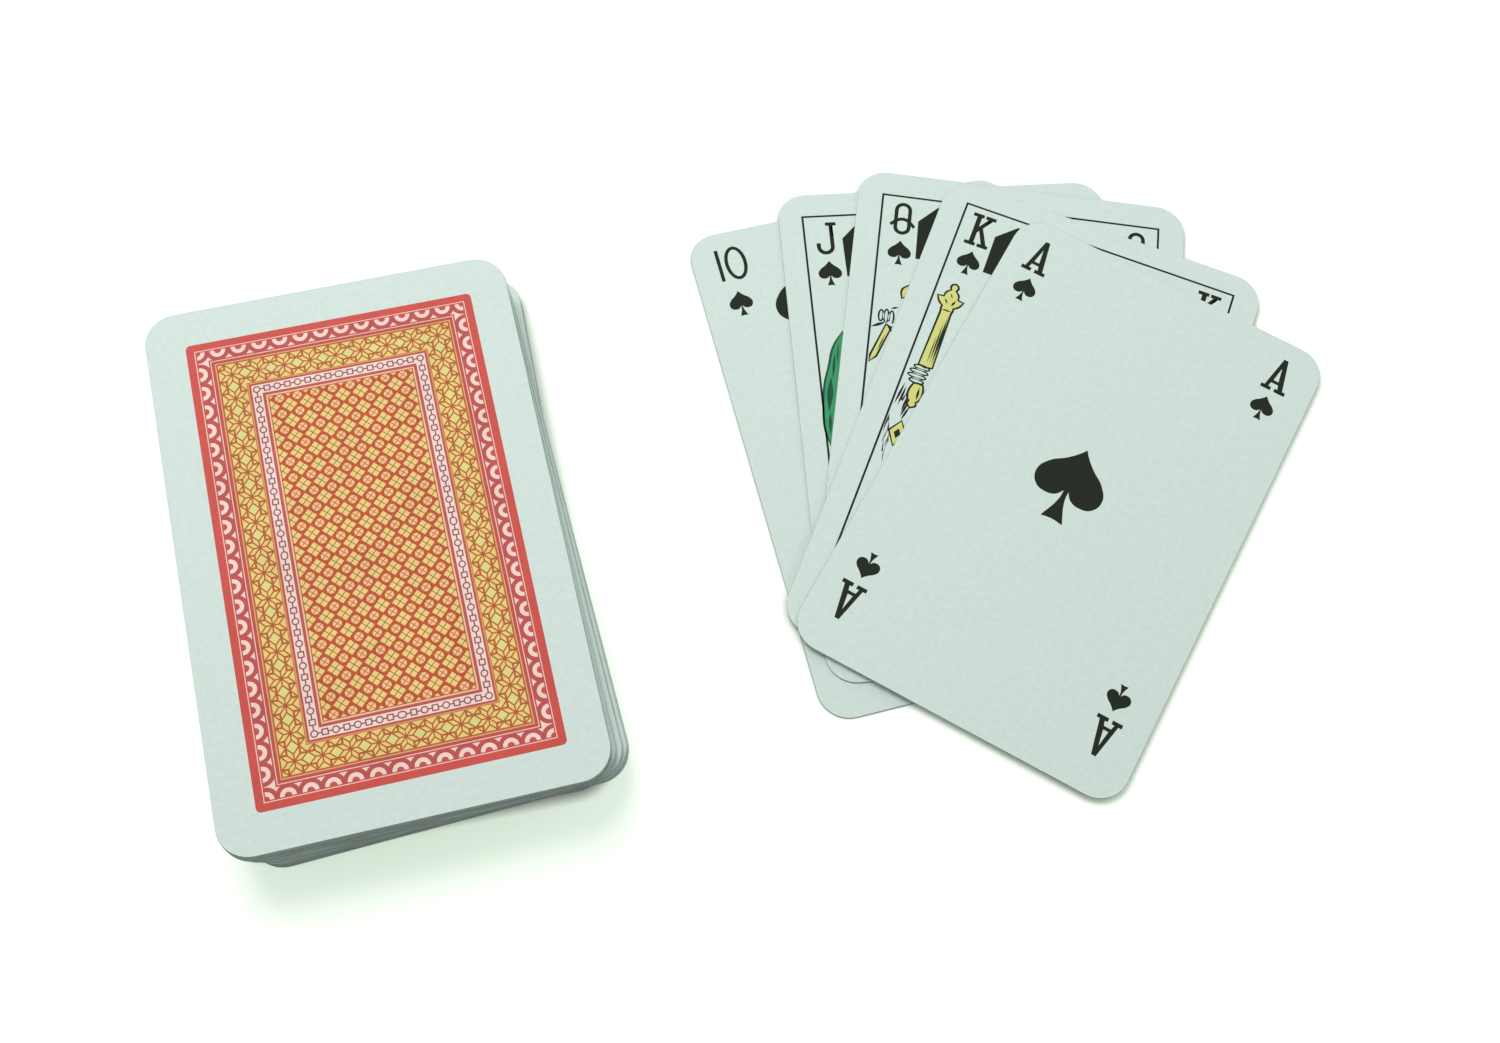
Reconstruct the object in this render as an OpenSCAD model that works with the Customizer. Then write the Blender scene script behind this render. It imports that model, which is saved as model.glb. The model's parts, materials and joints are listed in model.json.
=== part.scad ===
// Deck of 52 playing cards as it lies on a table: a face-down pack that has
// been splayed by handling, and beside it a face-up fan of the five top spades.
// Every card is a loose sheet of its own, so every card is a node of its own.

/* [Card] */
// Short side of a card
card_w = 57; // [40:0.5:80]
// Long side of a card
card_l = 88; // [60:0.5:130]
// Radius of the die-cut corners
corner_r = 5; // [1:0.25:10]
// Thickness of the card stock
card_t = 0.26; // [0.2:0.01:0.5]
// Air left between two cards that lie on each other
air_gap = 0.02; // [0.01:0.005:0.1]

/* [Pack] */
// Cards in each splayed packet from the table up; the rest lie square on top
packet_cards = [9, 10, 7, 5, 5]; // [1:1:15]
// Turn of each packet's lowest card, in degrees
packet_turn_foot = [-2, 2.2, 1.7, 1.3, 0.7]; // [-6:0.1:6]
// Turn of each packet's highest card, in degrees
packet_turn_head = [-1.8, 2, 1.5, 1.2, 0.5]; // [-6:0.1:6]
// Sideways slip of each packet's lowest card
packet_slip_foot = [0.9, 1.5, 1.75, 1.1, 0.45]; // [-6:0.05:6]
// Sideways slip of each packet's highest card
packet_slip_head = [0.8, 1.45, 1.5, 0.95, 0.35]; // [-6:0.05:6]
// Slip of each packet's lowest card away from the player
packet_push_foot = [2.8, 0.9, 0.6, 0.4, 0.2]; // [-6:0.05:6]
// Slip of each packet's highest card away from the player
packet_push_head = [2.6, 0.8, 0.5, 0.3, 0.1]; // [-6:0.05:6]
// How far single cards stand out of line with their packet
jog = 0.09; // [0:0.01:0.3]

/* [Fan] */
// Table between the pack's right side and the fan's left side, both taken square
fan_gap = 35.6; // [20:0.2:80]
// How much further back than the pack the fan lies
fan_back = 6; // [-20:0.5:20]
// Distance of the grip point from the fan's left side
grip_in = 19.5; // [5:0.5:28]
// Distance of the grip point from the fan's near side
grip_up = 13.3; // [5:0.1:40]
// Turn of each fanned card about the grip point, lowest card first, in degrees
fan_turn = [1.2, -9, -20.5, -34.4, -42.7]; // [-80:0.1:20]
// Sideways slip of each fanned card under the thumb
fan_slip = [-2.4, 1.5, 0.9, -2, 2]; // [-6:0.1:6]
// Slip of each fanned card along its length
fan_push = [-2.1, 0.6, 3, 0.6, -3.4]; // [-6:0.1:6]

/* [Hidden] */
$fn = 64;
face_colour = "#DCE9E4";
back_colour = "#C9454F";

// One level of a pile: a card and the air above it
pitch = card_t + air_gap;

// Names of all the cards, in the order in which they are piled
ranks = ["two", "three", "four", "five", "six", "seven", "eight", "nine",
         "ten", "jack", "queen", "king", "ace"];
fan_from = 8;
function named(rank, suit) = str(rank, "_of_", suit);
pack_names = [
    for (rank = ranks) named(rank, "clubs"),
    for (rank = ranks) named(rank, "diamonds"),
    for (k = [0 : fan_from - 1]) named(ranks[k], "spades"),
    for (rank = ranks) named(rank, "hearts")
];
fan_names = [for (k = [fan_from : len(ranks) - 1]) named(ranks[k], "spades")];

// The packet of the card at one level; the square packet on top comes last
function cards_below(packet) =
    packet == 0 ? 0 : cards_below(packet - 1) + packet_cards[packet - 1];
function packet_of(level, packet = 0) =
    packet == len(packet_cards) || level < cards_below(packet + 1)
        ? packet : packet_of(level, packet + 1);

// A packet leans evenly from its lowest card to its highest
function splayed(foot, head, level) =
    let (packet = packet_of(level))
    packet == len(packet_cards) ? 0 :
    let (share = (level - cards_below(packet)) / max(1, packet_cards[packet] - 1))
    foot[packet] + (head[packet] - foot[packet]) * share;

// Single cards stand a little out of line, in a pattern that does not repeat
golden_angle = 137.5;
top_level = len(pack_names) - 1;
function stray(level, start) =
    level == top_level ? 0 : jog * sin(start + level * golden_angle);

grip_x = card_w / 2 + fan_gap + grip_in;
grip_y = -card_l / 2 + fan_back + grip_up;

// A die-cut card, centred, with its lower face on z = 0
module card_blank() {
    inner_w = card_w - 2 * corner_r;
    inner_l = card_l - 2 * corner_r;
    linear_extrude(card_t) {
        square([card_w, inner_l], center = true);
        square([inner_w, card_l], center = true);
        for (side = [-1, 1], end = [-1, 1])
            translate([side * inner_w / 2, end * inner_l / 2]) circle(corner_r);
    }
}

// A face-down card at one level of the splayed pack
module pack_card(level) {
    slip = splayed(packet_slip_foot, packet_slip_head, level) + stray(level, 0);
    push = splayed(packet_push_foot, packet_push_head, level) + stray(level, 90);
    turn = splayed(packet_turn_foot, packet_turn_head, level);
    color(back_colour)
        translate([slip, push, level * pitch]) rotate(turn) card_blank();
}

// A face-up card at one level of the fan, turned about the grip point
module fan_card(level) {
    slip = card_w / 2 - grip_in + fan_slip[level];
    push = card_l / 2 - grip_up + fan_push[level];
    color(face_colour)
        translate([grip_x, grip_y, level * pitch]) rotate(fan_turn[level])
            translate([slip, push, 0]) card_blank();
}

for (level = [0 : top_level])
    pack_card(level);
for (level = [0 : len(fan_names) - 1])
    fan_card(level);
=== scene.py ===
import json
import math

import bpy
import numpy as np
from mathutils import Euler, Matrix, Vector


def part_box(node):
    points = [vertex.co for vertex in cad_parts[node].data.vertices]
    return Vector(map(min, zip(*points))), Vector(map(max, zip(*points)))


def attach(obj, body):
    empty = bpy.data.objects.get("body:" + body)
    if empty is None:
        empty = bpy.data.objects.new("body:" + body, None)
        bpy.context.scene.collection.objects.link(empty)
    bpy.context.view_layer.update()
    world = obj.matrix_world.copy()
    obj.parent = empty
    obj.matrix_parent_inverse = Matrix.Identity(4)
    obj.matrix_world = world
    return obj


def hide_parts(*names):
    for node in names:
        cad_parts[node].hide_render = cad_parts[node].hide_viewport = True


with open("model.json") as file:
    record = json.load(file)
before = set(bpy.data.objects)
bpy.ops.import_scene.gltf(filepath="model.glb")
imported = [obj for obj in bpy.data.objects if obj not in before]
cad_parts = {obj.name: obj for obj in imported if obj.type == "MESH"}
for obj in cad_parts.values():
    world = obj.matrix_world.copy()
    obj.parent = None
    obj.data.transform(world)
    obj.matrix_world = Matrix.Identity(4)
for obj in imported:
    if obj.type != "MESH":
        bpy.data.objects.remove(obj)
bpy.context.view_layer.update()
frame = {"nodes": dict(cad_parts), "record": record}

mm = 0.001


def linear(hexColour):
    shares = [int(hexColour[k:k + 2], 16) / 255 for k in (1, 3, 5)]
    return [s / 12.92 if s < 0.0405 else ((s + 0.055) / 1.055) ** 2.4 for s in shares] + [1]


# adds one node, sets it up, links or fills its sockets and gives back the output in use
def addNode(tree, kind, settings, inputs):
    node = tree.nodes.new("ShaderNode" + kind)
    for name, value in settings.items():
        setattr(node, name, value)
    pairs = enumerate(inputs) if isinstance(inputs, list) else inputs.items()
    for key, value in pairs:
        if isinstance(value, bpy.types.NodeSocket):
            tree.links.new(value, node.inputs[key])
        else:
            node.inputs[key].default_value = value
    return next((output for output in node.outputs if output.enabled), None)


def newMaterial(name):
    material = bpy.data.materials.new(name)
    material.use_nodes = True
    material.node_tree.nodes.clear()
    return material


def copyOf(model, name):
    bpy.ops.object.select_all(action="DESELECT")
    model.select_set(True)
    bpy.context.view_layer.objects.active = model
    bpy.ops.object.duplicate()
    bpy.context.object.name = name
    return bpy.context.object


# the object's place goes into its mesh
def settle(piece, place):
    bpy.ops.object.select_all(action="DESELECT")
    piece.select_set(True)
    bpy.context.view_layer.objects.active = piece
    piece.matrix_world = place
    bpy.ops.object.transform_apply(location=True, rotation=True, scale=True)


def joined(parts, name):
    bpy.ops.object.select_all(action="DESELECT")
    for part in parts:
        part.select_set(True)
    bpy.context.view_layer.objects.active = parts[0]
    if len(parts) > 1:
        bpy.ops.object.join()
    bpy.context.object.name = name
    return bpy.context.object


# Coated card: white paper board with a thin matt varnish, a little cloudy, with a fine fibre grain
coatedCard = {
    "white": "#DBECE4", "cool": "#D5E7DF", "cloudMm": 0.9, "cloudSpan": (0.35, 0.65),
    "fibreMm": 0.4, "fibreSpan": (0.3, 0.7), "roughness": (0.5, 0.64),
    "grainMm": 0.004, "grainStrength": 0.6, "specular": 0.35,
}


def paperWhite(tree, sheetMm):
    cloud = addNode(tree, "TexNoise", {},
                    {"Vector": sheetMm, "Scale": 1 / coatedCard["cloudMm"], "Detail": 3})
    shade = addNode(tree, "MapRange", {}, [cloud, *coatedCard["cloudSpan"], 0, 1])
    return addNode(tree, "Mix", {"data_type": "RGBA"},
                   {0: shade, 6: linear(coatedCard["white"]), 7: linear(coatedCard["cool"])})


def varnish(tree, sheetMm, colour):
    fibre = addNode(tree, "TexNoise", {},
                    {"Vector": sheetMm, "Scale": 1 / coatedCard["fibreMm"], "Detail": 2})
    gloss = addNode(tree, "MapRange", {}, [fibre, *coatedCard["fibreSpan"], *coatedCard["roughness"]])
    grain = addNode(tree, "Bump", {}, {"Strength": coatedCard["grainStrength"],
                                       "Distance": coatedCard["grainMm"] * mm, "Height": fibre})
    finish = addNode(tree, "BsdfPrincipled", {},
                     {"Base Color": colour, "Roughness": gloss, "Specular IOR Level": coatedCard["specular"],
                      "Normal": grain})
    addNode(tree, "OutputMaterial", {}, [finish])


paper = newMaterial("coatedCardFace")
tree = paper.node_tree
sheetMm = addNode(tree, "UVMap", {"uv_map": "print"}, [])
varnish(tree, sheetMm, paperWhite(tree, sheetMm))

# Printed back: offset print in reds, yellow and white under the same varnish, framed bands round a lattice
backPrint = {
    "width": 45, "length": 76, "cornerRound": 0.8,
    "bands": [(0, "#D24B41"), (1.2, "#FFD5C6"), (1.33, "#BF4B47"), (3.38, "#FFD2C2"), (3.54, "#BE4B40"),
              (4, "#F5A870"), (4.2, "#B05A30"), (4.42, "#F0D67C"), (8.3, "#A8572A"), (8.42, "#F09A62"),
              (8.58, "#B85040"), (8.95, "#FFE2D6"), (10.5, "#BE5250"), (10.95, "#FFCB9F"),
              (11.2, "#B05A30"), (11.36, "#C04A1E")],
    "deepest": 12,
    "rings": {"line": 1.6, "first": (4.79, 5.42), "pitch": (3.22, 3.26), "radius": 0.87, "stroke": 0.32,
              "foot": 1.55, "clear": 1.86, "edge": 3.18, "heart": "#CC4A46", "white": "#FFDFD2"},
    "stars": {"middle": 6.38, "unit": (1.01, 1.055), "across": 0.975, "stroke": 0.11, "heart": 0.17,
              "trim": 0.01, "line": "#B4581E", "core": "#C0481F", "lime": "#E5E188"},
    "chain": {"middle": 9.72, "pitch": (3.163, 3.519), "radius": 0.48, "half": 0.42, "stroke": 0.1,
              "bandHalf": 0.8, "line": "#863F50"},
    "lattice": {"pitch": 2.74, "diamond": 1.2, "disc": 0.68, "stroke": 0.065,
                "gold": "#F6D681", "peach": "#F9CE8B", "line": "#8A5A1C", "wheel": "#C4501F"},
    "cloudMm": 9, "cloudSpan": (0.4, 0.7), "thin": "#CFC4BE", "thinShare": 0.25,
}
printed = newMaterial("printedCardBack")
tree = printed.node_tree
sheetMm = addNode(tree, "UVMap", {"uv_map": "print"}, [])
place = addNode(tree, "SeparateXYZ", {}, [sheetMm]).node
offX = addNode(tree, "Math", {"operation": "ABSOLUTE"}, [place.outputs["X"]])
offY = addNode(tree, "Math", {"operation": "ABSOLUTE"}, [place.outputs["Y"]])
fromSide = addNode(tree, "Math", {"operation": "SUBTRACT"}, [backPrint["width"] / 2, offX])
fromEnd = addNode(tree, "Math", {"operation": "SUBTRACT"}, [backPrint["length"] / 2, offY])
inset = addNode(tree, "Math", {"operation": "MINIMUM"}, [fromSide, fromEnd])
reach = addNode(tree, "Math", {"operation": "MAXIMUM"}, [fromSide, fromEnd])
onSide = addNode(tree, "Math", {"operation": "LESS_THAN"}, [fromSide, fromEnd])
# plain bands, one colour from each inset on
depth = addNode(tree, "Math", {"operation": "DIVIDE"}, [inset, backPrint["deepest"]])
bands = addNode(tree, "ValToRGB", {}, [depth])
ramp = bands.node.color_ramp
ramp.interpolation = "CONSTANT"
ramp.elements.remove(ramp.elements[1])
for start, hexColour in backPrint["bands"]:
    stop = ramp.elements[0] if start == 0 else ramp.elements.new(start / backPrint["deepest"])
    stop.color = linear(hexColour)
# half rings that stand above the outer white line, with a quarter ring in each corner
rings = backPrint["rings"]
first = addNode(tree, "MapRange", {"clamp": False}, [onSide, 0, 1, *rings["first"]])
pitch = addNode(tree, "MapRange", {"clamp": False}, [onSide, 0, 1, *rings["pitch"]])
past = addNode(tree, "Math", {"operation": "SUBTRACT"}, [reach, first])
count = addNode(tree, "Math", {"operation": "DIVIDE"}, [past, pitch])
whole = addNode(tree, "Math", {"operation": "ROUND"}, [count])
whole = addNode(tree, "Math", {"operation": "MAXIMUM"}, [whole, 0])
spare = addNode(tree, "Math", {"operation": "SUBTRACT"}, [count, whole])
along = addNode(tree, "Math", {"operation": "MULTIPLY"}, [spare, pitch])
along = addNode(tree, "Math", {"operation": "ABSOLUTE"}, [along])
corner = addNode(tree, "Math", {"operation": "SUBTRACT"}, [reach, rings["line"]])
corner = addNode(tree, "Math", {"operation": "ABSOLUTE"}, [corner])
along = addNode(tree, "Math", {"operation": "MINIMUM"}, [along, corner])
above = addNode(tree, "Math", {"operation": "SUBTRACT"}, [inset, rings["line"]])
spoke = addNode(tree, "CombineXYZ", {}, [along, above])
spoke = addNode(tree, "VectorMath", {"operation": "LENGTH"}, [spoke])
ring = addNode(tree, "Math", {"operation": "COMPARE"}, [spoke, rings["radius"], rings["stroke"]])
fleck = addNode(tree, "Math", {"operation": "GREATER_THAN"}, [spoke, rings["clear"]])
ringMark = addNode(tree, "Math", {"operation": "MAXIMUM"}, [ring, fleck])
heart = addNode(tree, "Math", {"operation": "LESS_THAN"}, [spoke, rings["radius"]])
middle, half = (rings["edge"] + rings["foot"]) / 2, (rings["edge"] - rings["foot"]) / 2
band = addNode(tree, "Math", {"operation": "COMPARE"}, [inset, middle, half])
colour = bands
for mark, hexColour in ((heart, rings["heart"]), (ringMark, rings["white"])):
    mark = addNode(tree, "Math", {"operation": "MULTIPLY"}, [mark, band])
    colour = addNode(tree, "Mix", {"data_type": "RGBA"}, {0: mark, 6: colour, 7: linear(hexColour)})
# eight-petal stars with a lime diamond between each two, drawn as one folded wedge
stars = backPrint["stars"]
unit = addNode(tree, "MapRange", {"clamp": False}, [onSide, 0, 1, *stars["unit"]])
past = addNode(tree, "Math", {"operation": "SUBTRACT"}, [reach, stars["middle"]])
past = addNode(tree, "Math", {"operation": "DIVIDE"}, [past, unit])
along = addNode(tree, "Math", {"operation": "PINGPONG"}, [past, 2])
across = addNode(tree, "Math", {"operation": "SUBTRACT"}, [inset, stars["middle"]])
across = addNode(tree, "Math", {"operation": "ABSOLUTE"}, [across])
across = addNode(tree, "Math", {"operation": "DIVIDE"}, [across, stars["across"]])
more = addNode(tree, "Math", {"operation": "MAXIMUM"}, [along, across])
less = addNode(tree, "Math", {"operation": "MINIMUM"}, [along, across])
gap = addNode(tree, "Math", {"operation": "SUBTRACT"}, [more, less])
total = addNode(tree, "Math", {"operation": "ADD"}, [more, less])
past = addNode(tree, "Math", {"operation": "SUBTRACT"}, [more, 1])
arm = addNode(tree, "Math", {"operation": "MAXIMUM"}, [less, past])
past = addNode(tree, "Math", {"operation": "SUBTRACT"}, [total, 2])
lines = [arm, addNode(tree, "Math", {"operation": "MAXIMUM"}, [gap, past])]
for value, at in ((gap, 1), (less, 1), (total, 3)):
    away = addNode(tree, "Math", {"operation": "SUBTRACT"}, [value, at])
    lines.append(addNode(tree, "Math", {"operation": "ABSOLUTE"}, [away]))
nearest = lines[0]
for line in lines[1:]:
    slant = addNode(tree, "Math", {"operation": "MULTIPLY"}, [line, math.sqrt(0.5)])
    nearest = addNode(tree, "Math", {"operation": "MINIMUM"}, [nearest, slant])
starLine = addNode(tree, "Math", {"operation": "LESS_THAN"}, [nearest, stars["stroke"]])
core = addNode(tree, "Math", {"operation": "LESS_THAN"}, [more, stars["heart"]])
lead = addNode(tree, "Math", {"operation": "SUBTRACT"}, [along, across])
lime = addNode(tree, "Math", {"operation": "GREATER_THAN"}, [lead, 1])
half = 2 * stars["across"] - stars["trim"]
band = addNode(tree, "Math", {"operation": "COMPARE"}, [inset, stars["middle"], half])
for mark, hexColour in ((lime, stars["lime"]), (starLine, stars["line"]), (core, stars["core"])):
    mark = addNode(tree, "Math", {"operation": "MULTIPLY"}, [mark, band])
    colour = addNode(tree, "Mix", {"data_type": "RGBA"}, {0: mark, 6: colour, 7: linear(hexColour)})
# a chain of circles and squares on the pale band
chain = backPrint["chain"]
pitch = addNode(tree, "MapRange", {"clamp": False}, [onSide, 0, 1, *chain["pitch"]])
halfPitch = addNode(tree, "Math", {"operation": "MULTIPLY"}, [pitch, 0.5])
past = addNode(tree, "Math", {"operation": "SUBTRACT"}, [reach, chain["middle"]])
toCircle = addNode(tree, "Math", {"operation": "PINGPONG"}, [past, halfPitch])
toSquare = addNode(tree, "Math", {"operation": "SUBTRACT"}, [halfPitch, toCircle])
across = addNode(tree, "Math", {"operation": "SUBTRACT"}, [inset, chain["middle"]])
across = addNode(tree, "Math", {"operation": "ABSOLUTE"}, [across])
spoke = addNode(tree, "CombineXYZ", {}, [toCircle, across])
spoke = addNode(tree, "VectorMath", {"operation": "LENGTH"}, [spoke])
circle = addNode(tree, "Math", {"operation": "COMPARE"}, [spoke, chain["radius"], chain["stroke"]])
side = addNode(tree, "Math", {"operation": "MAXIMUM"}, [toSquare, across])
square = addNode(tree, "Math", {"operation": "COMPARE"}, [side, chain["half"], chain["stroke"]])
bar = addNode(tree, "Math", {"operation": "LESS_THAN"}, [across, chain["stroke"]])
outCircle = addNode(tree, "Math", {"operation": "GREATER_THAN"}, [spoke, chain["radius"]])
outSquare = addNode(tree, "Math", {"operation": "GREATER_THAN"}, [side, chain["half"]])
bar = addNode(tree, "Math", {"operation": "MULTIPLY"}, [bar, outCircle])
bar = addNode(tree, "Math", {"operation": "MULTIPLY"}, [bar, outSquare])
link = addNode(tree, "Math", {"operation": "MAXIMUM"}, [circle, square])
link = addNode(tree, "Math", {"operation": "MAXIMUM"}, [link, bar])
band = addNode(tree, "Math", {"operation": "COMPARE"}, [inset, chain["middle"], chain["bandHalf"]])
link = addNode(tree, "Math", {"operation": "MULTIPLY"}, [link, band])
colour = addNode(tree, "Mix", {"data_type": "RGBA"}, {0: link, 6: colour, 7: linear(chain["line"])})
# quartered gold diamonds and peach discs fill the middle
lattice = backPrint["lattice"]
half = lattice["pitch"] / 2
foldX = addNode(tree, "Math", {"operation": "PINGPONG"}, [offX, half])
foldY = addNode(tree, "Math", {"operation": "PINGPONG"}, [offY, half])
total = addNode(tree, "Math", {"operation": "ADD"}, [foldX, foldY])
diamond = addNode(tree, "Math", {"operation": "LESS_THAN"}, [total, lattice["diamond"]])
toX = addNode(tree, "Math", {"operation": "SUBTRACT"}, [half, foldX])
toY = addNode(tree, "Math", {"operation": "SUBTRACT"}, [half, foldY])
spoke = addNode(tree, "CombineXYZ", {}, [toX, toY])
spoke = addNode(tree, "VectorMath", {"operation": "LENGTH"}, [spoke])
disc = addNode(tree, "Math", {"operation": "LESS_THAN"}, [spoke, lattice["disc"]])
cross = addNode(tree, "Math", {"operation": "COMPARE"}, [foldX, foldY, lattice["stroke"] * math.sqrt(2)])
wheel = addNode(tree, "Math", {"operation": "MULTIPLY"}, [cross, disc])  # the cross on a disc is red
inField = addNode(tree, "Math", {"operation": "GREATER_THAN"}, [inset, backPrint["bands"][-1][0]])
marks = {"gold": diamond, "peach": disc, "line": cross, "wheel": wheel}
for ink, mark in marks.items():
    mark = addNode(tree, "Math", {"operation": "MULTIPLY"}, [mark, inField])
    colour = addNode(tree, "Mix", {"data_type": "RGBA"}, {0: mark, 6: colour, 7: linear(lattice[ink])})
# uneven ink: a little thicker here and there
cloud = addNode(tree, "TexNoise", {}, {"Vector": sheetMm, "Scale": 1 / backPrint["cloudMm"], "Detail": 4})
drift = addNode(tree, "MapRange", {}, [cloud, *backPrint["cloudSpan"], 0, backPrint["thinShare"]])
colour = addNode(tree, "Mix", {"data_type": "RGBA", "blend_type": "MULTIPLY"},
                 {0: drift, 6: colour, 7: linear(backPrint["thin"])})
# bare card outside the print, whose outer corners are rounded
roundX = addNode(tree, "Math", {"operation": "SUBTRACT"}, [backPrint["cornerRound"], fromSide])
roundX = addNode(tree, "Math", {"operation": "MAXIMUM"}, [roundX, 0])
roundY = addNode(tree, "Math", {"operation": "SUBTRACT"}, [backPrint["cornerRound"], fromEnd])
roundY = addNode(tree, "Math", {"operation": "MAXIMUM"}, [roundY, 0])
spoke = addNode(tree, "CombineXYZ", {}, [roundX, roundY])
spoke = addNode(tree, "VectorMath", {"operation": "LENGTH"}, [spoke])
bare = addNode(tree, "Math", {"operation": "GREATER_THAN"}, [spoke, backPrint["cornerRound"]])
colour = addNode(tree, "Mix", {"data_type": "RGBA"}, {0: bare, 6: colour, 7: paperWhite(tree, sheetMm)})
varnish(tree, sheetMm, colour)

# Cut edge: the raw paper core where the die went through, dull, with fine streaks along each card; its greys,
# darker than the bare core, and the broad bands of lighter and darker grey are partly painted shade, standing
# in for the shade on the pack's sides and in the gaps between its cards
cutEdge = {"pale": "#BCCCC3", "dark": "#5A6A63", "streakMm": (7, 0.14), "paintedShadeBandMm": (60, 0.7),
           "span": (0.75, 1.3), "roughness": 0.85, "specular": 0.2}
edge = newMaterial("cutPaperEdge")
tree = edge.node_tree
spot = addNode(tree, "TexCoord", {}, []).node.outputs["Object"]
layers = []
for run, rise in (cutEdge["streakMm"], cutEdge["paintedShadeBandMm"]):
    stretch = addNode(tree, "Mapping", {},
                      {"Vector": spot, "Scale": (1 / run / mm, 1 / run / mm, 1 / rise / mm)})
    layers.append(addNode(tree, "TexNoise", {}, {"Vector": stretch, "Scale": 1, "Detail": 2}))
# painted shade: the broad bands, summed with the fine streaks, pull the core's pale grey down towards the
# dark grey
streak = addNode(tree, "Math", {"operation": "ADD"}, layers)
shade = addNode(tree, "MapRange", {}, [streak, *cutEdge["span"], 0, 1])
colour = addNode(tree, "Mix", {"data_type": "RGBA"},
                 {0: shade, 6: linear(cutEdge["pale"]), 7: linear(cutEdge["dark"])})
finish = addNode(tree, "BsdfPrincipled", {}, {"Base Color": colour, "Roughness": cutEdge["roughness"],
                                              "Specular IOR Level": cutEdge["specular"]})
addNode(tree, "OutputMaterial", {}, [finish])

# Offset inks: thin films that take the paper's grain, as matt as the card
inkColours = {"black": "#1F261E", "red": "#C4303A", "yellow": "#DEE186", "green": "#459F6C",
              "darkGreen": "#1F5742"}
inkFilm = {"grainMm": 0.4, "grainSpan": (0.3, 0.7), "reliefMm": 0.003, "reliefStrength": 0.5,
           "roughness": (0.5, 0.64), "specular": 0.1, "curveSteps": 6}
inks = {}
for inkName, hexColour in inkColours.items():
    inks[inkName] = newMaterial(inkName + "OffsetInk")
    tree = inks[inkName].node_tree
    spot = addNode(tree, "TexCoord", {}, []).node.outputs["Object"]
    scale = 1 / inkFilm["grainMm"] / mm
    speck = addNode(tree, "TexNoise", {}, {"Vector": spot, "Scale": scale, "Detail": 2})
    gloss = addNode(tree, "MapRange", {}, [speck, *inkFilm["grainSpan"], *inkFilm["roughness"]])
    relief = addNode(tree, "Bump", {}, {"Strength": inkFilm["reliefStrength"],
                                        "Distance": inkFilm["reliefMm"] * mm, "Height": speck})
    finish = addNode(tree, "BsdfPrincipled", {},
                     {"Base Color": linear(hexColour), "Roughness": gloss,
                      "Specular IOR Level": inkFilm["specular"], "Normal": relief})
    addNode(tree, "OutputMaterial", {}, [finish])
print("materials made:", len(bpy.data.materials))

# One card, face up in the middle of the frame, in millimetres
cardBlank = {"cornerRadius": 5, "cornerSteps": 10, "edgeRound": 0.04, "edgeSteps": 2, "inkDepth": 0.006,
             "flatNormal": 0.99}
low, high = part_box("ace_of_hearts")  # the pack's top card lies square in the frame
cardWide, cardLong, cardThick = ((high[k] - low[k]) / mm for k in range(3))
bodyThick = cardThick - 2 * cardBlank["inkDepth"]
bpy.ops.object.select_all(action="DESELECT")
bpy.ops.mesh.primitive_plane_add(size=1, location=(0, 0, 0))
blank = bpy.context.object
bpy.ops.object.mode_set(mode="EDIT")
bpy.ops.mesh.select_all(action="SELECT")
bpy.ops.transform.resize(value=(cardWide, cardLong, 1))
bpy.ops.transform.translate(value=(0, 0, -bodyThick / 2))
bpy.ops.mesh.bevel(affect="VERTICES", offset=cardBlank["cornerRadius"], segments=cardBlank["cornerSteps"])
bpy.ops.mesh.select_all(action="SELECT")
bpy.ops.mesh.extrude_region_move(TRANSFORM_OT_translate={"value": (0, 0, bodyThick)})
bpy.ops.mesh.select_all(action="SELECT")
bpy.ops.mesh.normals_make_consistent(inside=False)
bpy.ops.mesh.select_all(action="DESELECT")
bpy.ops.mesh.select_mode(type="EDGE")
bpy.ops.object.mode_set(mode="OBJECT")
for rim in blank.data.edges:
    ends = [blank.data.vertices[k].co.z for k in rim.vertices]
    rim.select = abs(ends[0] - ends[1]) < bodyThick / 2
bpy.ops.object.mode_set(mode="EDIT")
bpy.ops.mesh.bevel(affect="EDGES", offset=cardBlank["edgeRound"], segments=cardBlank["edgeSteps"])
bpy.ops.object.mode_set(mode="OBJECT")
for material in (paper, printed, edge):
    blank.data.materials.append(material)
printMap = blank.data.uv_layers.new(name="print")
for face in blank.data.polygons:
    sideways = abs(face.normal.z) < cardBlank["flatNormal"]
    face.material_index = 2 if sideways else 0 if face.normal.z > 0 else 1
    for corner in face.loop_indices:
        printMap.data[corner].uv = blank.data.vertices[blank.data.loops[corner].vertex_index].co.xy
print("card blank:", round(cardWide, 2), "x", round(cardLong, 2), "mm,", len(blank.data.polygons), "faces")


# Points of an ellipse's stretch, in degrees anticlockwise from the right
def arc(x, y, wide, high, start, end, step=15):
    steps = max(2, round(abs(end - start) / step))
    angles = [math.radians(start + (end - start) * k / steps) for k in range(steps + 1)]
    return [(x + wide * math.cos(a), y + high * math.sin(a)) for a in angles]


# the outline closes itself, so its last point is not the first again
def ellipse(x, y, wide, high):
    return arc(x, y, wide, high, 0, 345)


# A whole outline from its right half, which runs from top to bottom
def mirrored(half):
    left = [(-x, *rest) for x, *rest in reversed(half) if x > 0]
    return half + left


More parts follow.
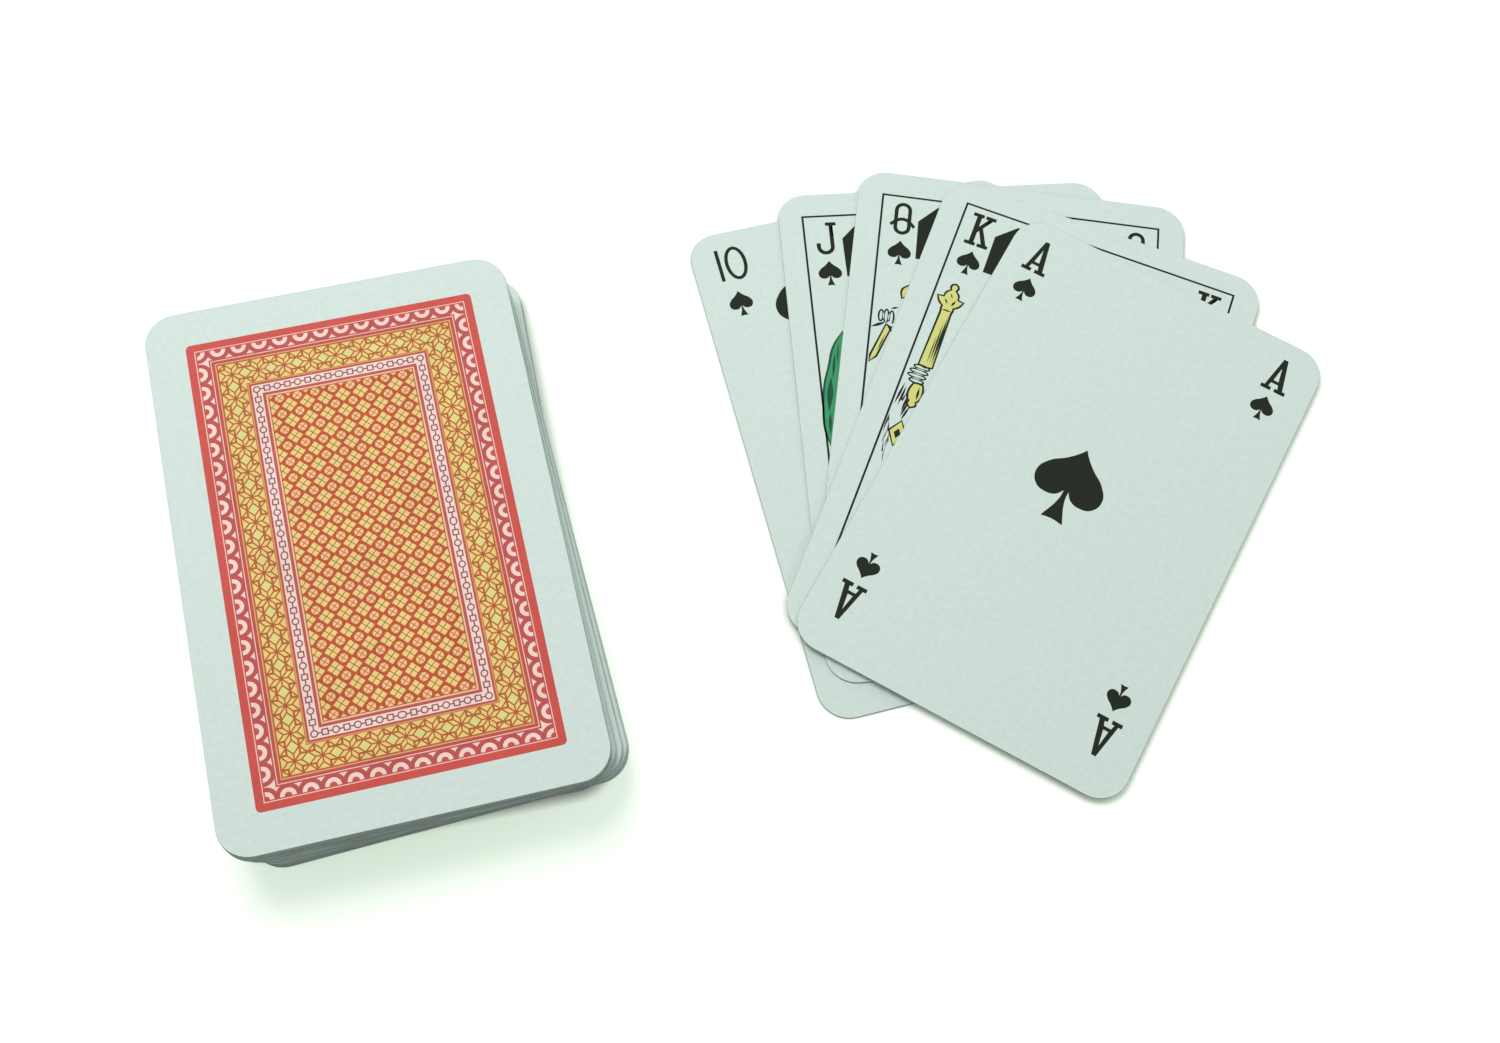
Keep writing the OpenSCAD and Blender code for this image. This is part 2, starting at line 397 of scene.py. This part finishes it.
# A flat film of ink, in millimetres, from closed outlines; a third value rounds a point
def flatInk(name, outlines, inkName, level=0):
    bpy.ops.object.select_all(action="DESELECT")
    bpy.ops.curve.primitive_bezier_circle_add(location=(0, 0, 0))
    film = bpy.context.object
    film.name = name
    curve = film.data
    curve.dimensions = "2D"
    curve.fill_mode = "BOTH"
    curve.resolution_u = inkFilm["curveSteps"]
    curve.splines.clear()
    for outline in outlines:
        spline = curve.splines.new("BEZIER")
        spline.bezier_points.add(len(outline) - 1)
        spline.use_cyclic_u = True
        for point, (x, y, *bend) in zip(spline.bezier_points, outline):
            point.co = (x, y, 0)
            point.handle_left_type = "AUTO" if bend else "VECTOR"
            point.handle_right_type = "AUTO" if bend else "VECTOR"
    bpy.ops.object.convert(target="MESH")
    return thickened(film, inkName, level)


# films of a higher level lie over the lower ones, and none is thicker than the room left for ink
def thickened(film, inkName, level, base=0.6, rise=0.2):
    film.data.materials.clear()
    film.data.materials.append(inks[inkName])
    bpy.ops.object.modifier_add(type="SOLIDIFY")
    film.modifiers[-1].thickness = cardBlank["inkDepth"] * (base + rise * level)
    film.modifiers[-1].offset = 1
    bpy.ops.object.modifier_apply(modifier=film.modifiers[-1].name)
    return film


# Suit pips, one unit high
pipOutlines = {
    "spades": [(0, 0.5), (0.047, 0.43, 1), (0.17, 0.3, 1), (0.335, 0.165, 1), (0.418, -0.01, 1),
               (0.35, -0.172, 1), (0.222, -0.215, 1), (0.1, -0.185, 1), (0.028, -0.095), (0.037, -0.22, 1),
               (0.135, -0.5), (0, -0.482, 1)],
    "hearts": [(0, 0.28), (0.07, 0.43, 1), (0.215, 0.5, 1), (0.375, 0.43, 1), (0.44, 0.26, 1),
               (0.38, 0.06, 1), (0.16, -0.24, 1), (0, -0.5)],
    "diamonds": [(0, 0.5), (0.175, 0.235, 1), (0.385, 0), (0.175, -0.235, 1), (0, -0.5)],
    "clubs": [*arc(0, 0.27, 0.23, 0.23, 90, -29), *arc(0.235, -0.07, 0.23, 0.23, 99, -150),
              (0.045, -0.3, 1), (0.15, -0.5), (0, -0.485, 1)],
}
suitInk = {"spades": "black", "hearts": "red", "diamonds": "red", "clubs": "black"}
pips = {suit: flatInk(suit + "Pip", [mirrored(half)], suitInk[suit]) for suit, half in pipOutlines.items()}
print("pips:", [len(pip.data.polygons) for pip in pips.values()])

# Corner index marks, in millimetres about their middle; each film is a list of outlines
indexFilms = {
    "ace": [[[(-2.15, -3.3), (-0.4, -3.3), (-0.4, -2.6), (-0.92, -2.6), (-0.72, -1.8), (0.52, -1.8),
              (0.72, -2.6), (0.25, -2.6), (0.25, -3.3), (2.15, -3.3), (2.15, -2.6), (1.6, -2.6),
              (0.38, 3.3), (-0.38, 3.3), (-1.6, -2.6), (-2.15, -2.6)],
             [(-0.53, -1.2), (0.36, -1.2), (-0.07, 1.5)]]],
    "king": [[[(-2.08, -3.22), (-0.15, -3.22), (-0.15, -2.55), (-0.5, -2.55), (-0.5, -0.5), (-0.2, -0.1),
               (0.82, -2.55), (0.2, -2.55), (0.2, -3.22), (2.1, -3.22), (2.1, -2.55), (1.72, -2.55),
               (0.26, 0.62), (1.5, 2.55), (1.98, 2.55), (1.98, 3.22), (0.15, 3.22), (0.15, 2.55),
               (0.66, 2.55), (-0.5, 0.72), (-0.5, 2.55), (-0.15, 2.55), (-0.15, 3.22), (-2.08, 3.22),
               (-2.08, 2.55), (-1.34, 2.55), (-1.34, -2.55), (-2.08, -2.55)]]],
    "queen": [[arc(0, 1.68, 1.5, 1.5, 0, 180) + arc(0, -1.68, 1.5, 1.5, 180, 360),
               arc(0, 1.68, 0.84, 0.84, 0, 180) + arc(0, -1.68, 0.84, 0.84, 180, 360)],
              [[(-2.25, -1.1), (-0.7, 0.08, 1), (0.75, 0.08, 1), (2.3, -1.3), (1.9, -1.75),
                (0.55, -0.52, 1), (-0.55, -0.52, 1), (-1.87, -1.57)]]],
    "jack": [[[(0.56, 2.5), (0, 2.5), (0, 3.15), (1.83, 3.15), (1.83, 2.5), (1.26, 2.5),
               *arc(-0.28, -1.6, 1.54, 1.54, 0, -180), (-1.82, -0.86), (-1.12, -0.86),
               *arc(-0.28, -1.6, 0.84, 0.84, 180, 360)]]],
    "ten": [[[(-2.5, -3.05), (-1.88, -3.05), (-1.88, 3.05), (-2.5, 3.05)]],
            [ellipse(0.68, 0, 1.9, 3.25), ellipse(0.68, 0, 1.28, 2.63)]],
}
numerals = {"signs": {"two": "2", "three": "3", "four": "4", "five": "5", "six": "6", "seven": "7",
                      "eight": "8", "nine": "9"},
            "high": 6.4, "highShare": 0.7}  # a numeral's height as a share of the letter size
indexes = {}
for rank, films in indexFilms.items():
    for suit in ("spades", "hearts"):
        parts = [flatInk(rank + "Film", film, suitInk[suit], k) for k, film in enumerate(films)]
        indexes[rank, suitInk[suit]] = joined(parts, rank + "Index")
for rank, sign in numerals["signs"].items():
    for inkName in ("black", "red"):
        bpy.ops.object.select_all(action="DESELECT")
        bpy.ops.object.text_add(location=(0, 0, 0))
        film = bpy.context.object
        film.data.body = sign
        film.data.align_x, film.data.align_y = "CENTER", "CENTER"
        film.data.size = numerals["high"] / numerals["highShare"]
        bpy.ops.object.convert(target="MESH")
        indexes[rank, inkName] = thickened(film, inkName, 0)
print("index marks:", len(indexes))


# An outline moved outwards all round
def grown(outline, by):
    spots = np.array([point[:2] for point in outline])
    back, ahead = spots - np.roll(spots, 1, 0), np.roll(spots, -1, 0) - spots
    run = back / np.linalg.norm(back, axis=1)[:, None] + ahead / np.linalg.norm(ahead, axis=1)[:, None]
    out = np.stack([run[:, 1], -run[:, 0]], 1) / np.linalg.norm(run, axis=1)[:, None]
    area = np.sum(np.cross(spots, np.roll(spots, -1, 0)))
    moved = spots + out * by * np.sign(area)
    return [(x, y, *point[2:]) for (x, y), point in zip(moved.tolist(), outline)]


# A pointed stroke of the pen
def stroke(x, y, run, rise, half):
    side = half / math.hypot(run, rise)
    midX, midY = x + run / 2, y + rise / 2
    return [(x, y), (midX + side * rise, midY - side * run, 1), (x + run, y + rise),
            (midX - side * rise, midY + side * run, 1)]


def loop(x, y, wide, high, line=0.32):
    return [ellipse(x, y, wide, high), ellipse(x, y, wide - line, high - line)]


# Court cards: a thin frame, dark panels with a jewel, a sash, a medallion and one emblem for each rank
court = {
    "frameWide": 48.5, "frameLong": 79.5, "line": 0.36, "outline": 0.37, "medallion": (13, 12.2),
    "panel": [(-14.4, 38.2), (-17.6, 35), (-17.5, 27.6), (-5.2, 27.6), (-2.4, 30.4), (-2.4, 38.2)],
    "inlay": [[(-8.2, 36.8), (-4.6, 33), (-8.2, 29.2), (-11.8, 33)],
              [(-8.2, 35.8), (-5.6, 33), (-8.2, 30.2), (-10.8, 33)]],
    "jewel": [(-8.2, 34.8), (-6.6, 33), (-8.2, 31.2), (-9.8, 33)],
    "sash": [(4.9, 12.9), (8.2, 11.2), (15.6, 25.2), (12.3, 26.9)],
    "stripe": [(6.1, 12.6), (7.1, 12.1), (14.3, 25.6), (13.3, 26.1)],
}
# the king's staff stands on a corded grip over a lozenge and a fringe
kingStaff = {
    "middle": -20.95,
    "shaft": [(0, 23.4), (0.42, 23.1, 1), (0.42, 22.6, 1), (0.25, 22.3), (0.95, 21.5, 1), (1.15, 20.6),
              (2.15, 20.5), (1.6, 19.6, 1), (0.8, 18.9), (0.9, 18.5), (0.8, 18.1), (0.75, 17.6),
              (1.08, 7), (0, 6.8)],
    "knob": [(0, 3.2), (0.7, 3.1), (1, 1.9, 1), (0.85, 0.4, 1), (0.4, -0.1), (0.6, -0.6, 1), (0, -1.2)],
    "lozenge": [(-21.4, -4.3), (-20.1, -6.4), (-21.4, -8.7), (-22.7, -6.4)],
    "gem": [(-21.4, -5.6), (-20.8, -6.5), (-21.4, -7.5), (-22, -6.5)],
    "grip": [*loop(-21.4, 6.4, 1.5, 0.55), *loop(-21.6, 5.5, 1.7, 0.55), *loop(-21.7, 4.6, 1.7, 0.55),
             *loop(-21.5, 3.7, 1.4, 0.55)],
    "grooves": [stroke(-20.32, 17.4, 0.2, -10.3, 0.2), stroke(-20.66, 16.2, 0.12, -9, 0.13),
                stroke(-20.95, 13.4, 0, -6.2, 0.09), stroke(-20.5, 19.2, 0.5, 1.3, 0.2),
                stroke(-20.6, 2.8, 0.2, -2.6, 0.2), stroke(-21.9, 18.2, 1.9, 0, 0.15),
                stroke(-21.9, 20.4, 0.7, -1, 0.14), stroke(-21.2, 21.6, 0.5, -0.9, 0.12)],
    "fringeStrokes": 6, "swayStep": 2.4,
    # each row: x, y, run and rise of its first stroke, what each next one adds and what the sway adds
    "fringeRows": [{"first": (-23.1, 2.9, -0.5, -4.6), "step": (0.42, -0.75, 0, 0.3),
                    "lean": (0, 0.4, 0.3, 0), "half": 0.2},
                   {"first": (-23.75, -3.4, 0.45, -5.2), "step": (0.28, -0.9, 0, 0),
                    "lean": (0, 0, -0.35, 0.8), "half": 0.27}],
}
shaft, knob = ([(x + kingStaff["middle"], y, *bend) for x, y, *bend in mirrored(kingStaff[half])]
               for half in ("shaft", "knob"))
fringe = []
for k in range(kingStaff["fringeStrokes"]):
    sway = math.sin(kingStaff["swayStep"] * k)  # no two strokes lean alike
    for row in kingStaff["fringeRows"]:
        values = zip(row["first"], row["step"], row["lean"])
        fringe.append(stroke(*(first + step * k + lean * sway for first, step, lean in values), row["half"]))
queenFlower = {
    "stalk": [(-23.55, 7.2), (-22.65, 8.2), (-20.6, 13.8), (-21.35, 14.1), (-23.4, 8.2)],
    "bud": [(-18.1, 22.2), (-19.1, 21.2, 1), (-19.1, 19.8), (-17.9, 20.5, 1)],
    "bow": [*loop(-22.4, 15.9, 0.55, 1.2), *loop(-21.5, 15.9, 0.55, 1.4), *loop(-20.6, 15.7, 0.55, 1.4),
            stroke(-21.3, 14.8, -2.7, -1.3, 0.26), stroke(-21.3, 14.6, 1.2, -2, 0.2),
            stroke(-22.5, 9, 1.2, 3.6, 0.1), stroke(-20.9, 17.4, 1.4, 0.4, 0.18)],
}
jackLeaf = {
    "blade": [(-19.5, 17), (-21.1, 14.4, 1), (-22.3, 10.6, 1), (-23.3, 7.4, 1), (-23.9, 3, 1), (-24, -0.5, 1),
              (-23.5, -3.4), (-22, -1, 1), (-20.6, 4, 1), (-19.9, 9, 1), (-19.3, 14, 1)],
    "veins": [stroke(-22.2, 9, -1, -6.6, 0.5), stroke(-21.1, 13.4, -0.9, -5.2, 0.22),
              stroke(-23, 2.6, -0.4, -4.4, 0.26), stroke(-20.3, 15.4, -0.7, -4.4, 0.13),
              stroke(-21.4, 5.4, -0.7, -5.2, 0.16)],
}
# each emblem: filled shapes in one ink, the ink of their rims and lines, and the lines
emblems = {
    "king": ([shaft, knob, kingStaff["lozenge"]], "yellow", "black",
             [*fringe, *kingStaff["grooves"], kingStaff["gem"], *kingStaff["grip"]]),
    "queen": ([queenFlower["stalk"], queenFlower["bud"]], "yellow", "black", queenFlower["bow"]),
    "jack": ([jackLeaf["blade"]], "green", "darkGreen", jackLeaf["veins"]),
}


def rectangle(wide, long):
    return [(wide / 2, long / 2), (-wide / 2, long / 2), (-wide / 2, -long / 2), (wide / 2, -long / 2)]


wide, long, thin = court["frameWide"], court["frameLong"], court["line"]
courts = {}
for rank, (shapes, shapeInk, lineInk, lines) in emblems.items():
    frameLine = [rectangle(wide, long), rectangle(wide - 2 * thin, long - 2 * thin)]
    parts = [flatInk("frameLine", frameLine, "black")]
    for turn in (0, math.pi):
        half = [flatInk("panel", [court["panel"]], "black"), flatInk("inlay", court["inlay"], "yellow", 1),
                flatInk("jewel", [court["jewel"]], "red", 1),
                flatInk("stripe", [court["stripe"]], "yellow", 2),
                flatInk("emblemLines", lines, lineInk, 2)]
        for shape, inkName in [(court["sash"], "red"), *((shape, shapeInk) for shape in shapes)]:
            half.append(flatInk("emblemRim", [grown(shape, court["outline"])], lineInk))
            half.append(flatInk("emblem", [shape], inkName, 1))
        parts.append(joined(half, "courtHalf"))
        settle(parts[-1], Matrix.Rotation(turn, 4, "Z"))
    rounds = [ellipse(0, 0, radius, radius) for radius in court["medallion"]]
    parts.append(flatInk("medallion", rounds, "black"))
    courts[rank] = joined(parts, rank + "Court")
print("courts:", [len(model.data.polygons) for model in courts.values()])

# Every card: a copy of the blank, with the ink of its rank and suit on its face
faceLayout = {
    "plainIndex": (22.4, 35.95), "plainPip": (22.1, 29), "tenIndex": (21.6, 36.2), "tenPip": (22.05, 28.5),
    "courtIndex": (20.3, 35.15), "courtPip": (20.35, 28.4), "smallPip": 4.8, "pip": 14.2, "column": 10.6,
    "row": 26.4,
}
printShift = {"ten": (-0.15, 1.64), "jack": (-0.3, 0.1), "queen": (-0.1, 0), "king": (-0.15, 0.5),
              "ace": (-0.35, 1.45)}
sideRows = {"four": 2, "five": 2, "six": 3, "seven": 3, "eight": 3, "nine": 4, "ten": 4}
middleShares = {"ace": [0], "two": [1, -1], "three": [1, 0, -1], "five": [0], "seven": [0.5],
                "eight": [0.5, -0.5], "nine": [0], "ten": [2 / 3, -2 / 3], "jack": [0], "queen": [0],
                "king": [0]}
fan = {rank + "_of_spades" for rank in printShift}


# where a card lies in the frame: its middle, and its turn from the spread of its corners
def restPlace(name):
    low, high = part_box(name)
    middle = (low + high) / 2
    spots = np.array([vertex.co.xy for vertex in frame["nodes"][name].data.vertices])
    spread = np.cov(spots.T)
    turn = math.atan2(2 * spread[0, 1], spread[0, 0] - spread[1, 1]) / 2 - math.pi / 2
    turn = turn + math.pi if turn < -math.pi / 2 else turn
    faceDown = Matrix.Identity(4) if name in fan else Matrix.Rotation(math.pi, 4, "Y")
    return Matrix.Translation(middle) @ Matrix.Rotation(turn, 4, "Z") @ faceDown @ Matrix.Scale(mm, 4)


def faceInk(rank, suit, name):
    marks = []
    inCourt = rank in courts
    kind = "court" if inCourt else "ten" if rank == "ten" else "plain"
    (markX, markY), (smallX, smallY) = faceLayout[kind + "Index"], faceLayout[kind + "Pip"]
    for side in (-1, 1):
        for end in (-1, 1):
            marks.append((indexes[rank, suitInk[suit]], side * markX, end * markY, 1))
            marks.append((pips[suit], side * smallX, end * smallY, faceLayout["smallPip"]))
    rows = sideRows.get(rank, 0)
    spots = [(0, share) for share in middleShares.get(rank, [])]
    spots += [(side, 1 - 2 * k / (rows - 1)) for side in (-1, 1) for k in range(rows)]
    for side, share in spots:
        x, y = side * faceLayout["column"], share * faceLayout["row"]
        marks.append((pips[suit], x, y, faceLayout["pip"]))
    films = []
    for model, x, y, size in marks:
        films.append(copyOf(model, name))
        upright = Matrix.Rotation(math.pi if y < 0 else 0, 4, "Z")
        scale = Matrix.Diagonal((size, size, 1, 1))
        settle(films[-1], Matrix.Translation((x, y, bodyThick / 2)) @ upright @ scale)
    if inCourt:
        films.append(copyOf(courts[rank], name))
        settle(films[-1], Matrix.Translation((0, 0, bodyThick / 2)))
    face = joined(films, name)
    slip = printShift[rank] if name.startswith(tuple(fan)) else (0, 0)  # a print is seldom quite central
    settle(face, Matrix.Translation((*slip, 0)))
    return face


for name in sorted(frame["nodes"]):
    rank, suit = name.split("_of_")
    body = next(b for b, nodes in frame["record"]["behaviour"]["bodies"].items() if name in nodes)
    card = copyOf(blank, name + "_card")
    settle(card, restPlace(name))
    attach(card, body)
    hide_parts(name)
    ink = faceInk(rank, suit, name + "_ink")
    settle(ink, restPlace(name))
    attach(ink, body)
models = [blank, *pips.values(), *indexes.values(), *courts.values()]
for model in models:
    bpy.data.objects.remove(model)
print("cards dressed:", len(frame["nodes"]))


# what the eye, a gloss or a clear thing sees, as against what lights the object
def seenRay(tree):
    ray = addNode(tree, "LightPath", {}, []).node.outputs
    seen = addNode(tree, "Math", {"operation": "MAXIMUM"}, [ray["Is Camera Ray"], ray["Is Glossy Ray"]])
    return addNode(tree, "Math", {"operation": "MAXIMUM"}, [seen, ray["Is Transmission Ray"]])


# Floor: matt white paper that shows pure white to the eye away from shadows; near the cards a painted contact
# shade dims its glow
floorSheet = {"size": 6, "colour": "#E6E6E4", "glow": "#EAFFE8", "lift": (0.58, 1.2),
              "near": 0.25, "far": 0.6, "paintedShadeReachMm": 2, "paintedShadeFall": 3}
bpy.ops.object.select_all(action="DESELECT")
bpy.ops.mesh.primitive_plane_add(size=floorSheet["size"], location=(0, 0, 0))
floor = bpy.context.object
floor.name = "floor"
white = newMaterial("mattWhitePaper")
tree = white.node_tree
spot = addNode(tree, "TexCoord", {}, []).node.outputs["Object"]
away = addNode(tree, "VectorMath", {"operation": "LENGTH"}, [spot])
lift = addNode(tree, "MapRange", {}, [away, floorSheet["near"], floorSheet["far"], *floorSheet["lift"]])
# painted contact shade: ambient occlusion, raised to a power, dims the glow the eye sees within a few
# millimetres of the cards, so the floor darkens under and beside their edges
clear = addNode(tree, "AmbientOcclusion", {}, {"Distance": floorSheet["paintedShadeReachMm"] * mm}).node.outputs["AO"]
clear = addNode(tree, "Math", {"operation": "POWER"}, [clear, floorSheet["paintedShadeFall"]])
lift = addNode(tree, "Math", {"operation": "MULTIPLY"}, [lift, clear])
lift = addNode(tree, "Math", {"operation": "MULTIPLY"}, [seenRay(tree), lift])
glow = addNode(tree, "Emission", {}, {"Color": linear(floorSheet["glow"]), "Strength": lift})
matt = addNode(tree, "BsdfDiffuse", {}, {"Color": linear(floorSheet["colour"])})
addNode(tree, "OutputMaterial", {}, [addNode(tree, "AddShader", {}, [matt, glow])])
floor.data.materials.append(white)

# Light: a broad soft window behind the pack and a little to its left, a weak one at the right, an even sky
skyLevel = 0.36
lampsAim = Vector((0.06, 0, 0))
lamps = {
    "windowBehind": {"at": (-0.06, 0.32, 0.6), "size": 0.4, "power": 2.85},
    "windowRight": {"at": (0.6, 0.05, 0.25), "size": 0.3, "power": 0.5},
}
sky = bpy.data.worlds.new("softSky")
sky.use_nodes = True
tree = sky.node_tree
tree.nodes.clear()
level = addNode(tree, "MapRange", {}, [seenRay(tree), 0, 1, skyLevel, 1])
air = addNode(tree, "Background", {}, {"Color": (1, 1, 1, 1), "Strength": level})
addNode(tree, "OutputWorld", {}, [air])
bpy.context.scene.world = sky
for name, lamp in lamps.items():
    bpy.ops.object.light_add(type="AREA", location=lamp["at"])
    light = bpy.context.object
    light.name = name
    light.data.size = lamp["size"]
    light.data.energy = lamp["power"]
    light.rotation_euler = (lampsAim - light.location).to_track_quat("-Z", "Y").to_euler()

# Camera: a phone held over the table, looking down and a little to the left
viewer = {"at": (17.72, -109.39, 276.14), "tilt": 21.894, "roll": -3.042, "turn": -13.922, "lens": 44.47,
          "sensor": 36, "nearest": 10}
bpy.ops.object.camera_add(location=[c * mm for c in viewer["at"]])
camera = bpy.context.object
camera.rotation_euler = Euler([math.radians(viewer[k]) for k in ("tilt", "roll", "turn")])
camera.data.lens = viewer["lens"]
camera.data.sensor_width = viewer["sensor"]
camera.data.clip_start = viewer["nearest"] * mm
bpy.context.scene.camera = camera
bpy.context.scene.view_settings.view_transform = "Standard"
print("stage, lamps and camera set")
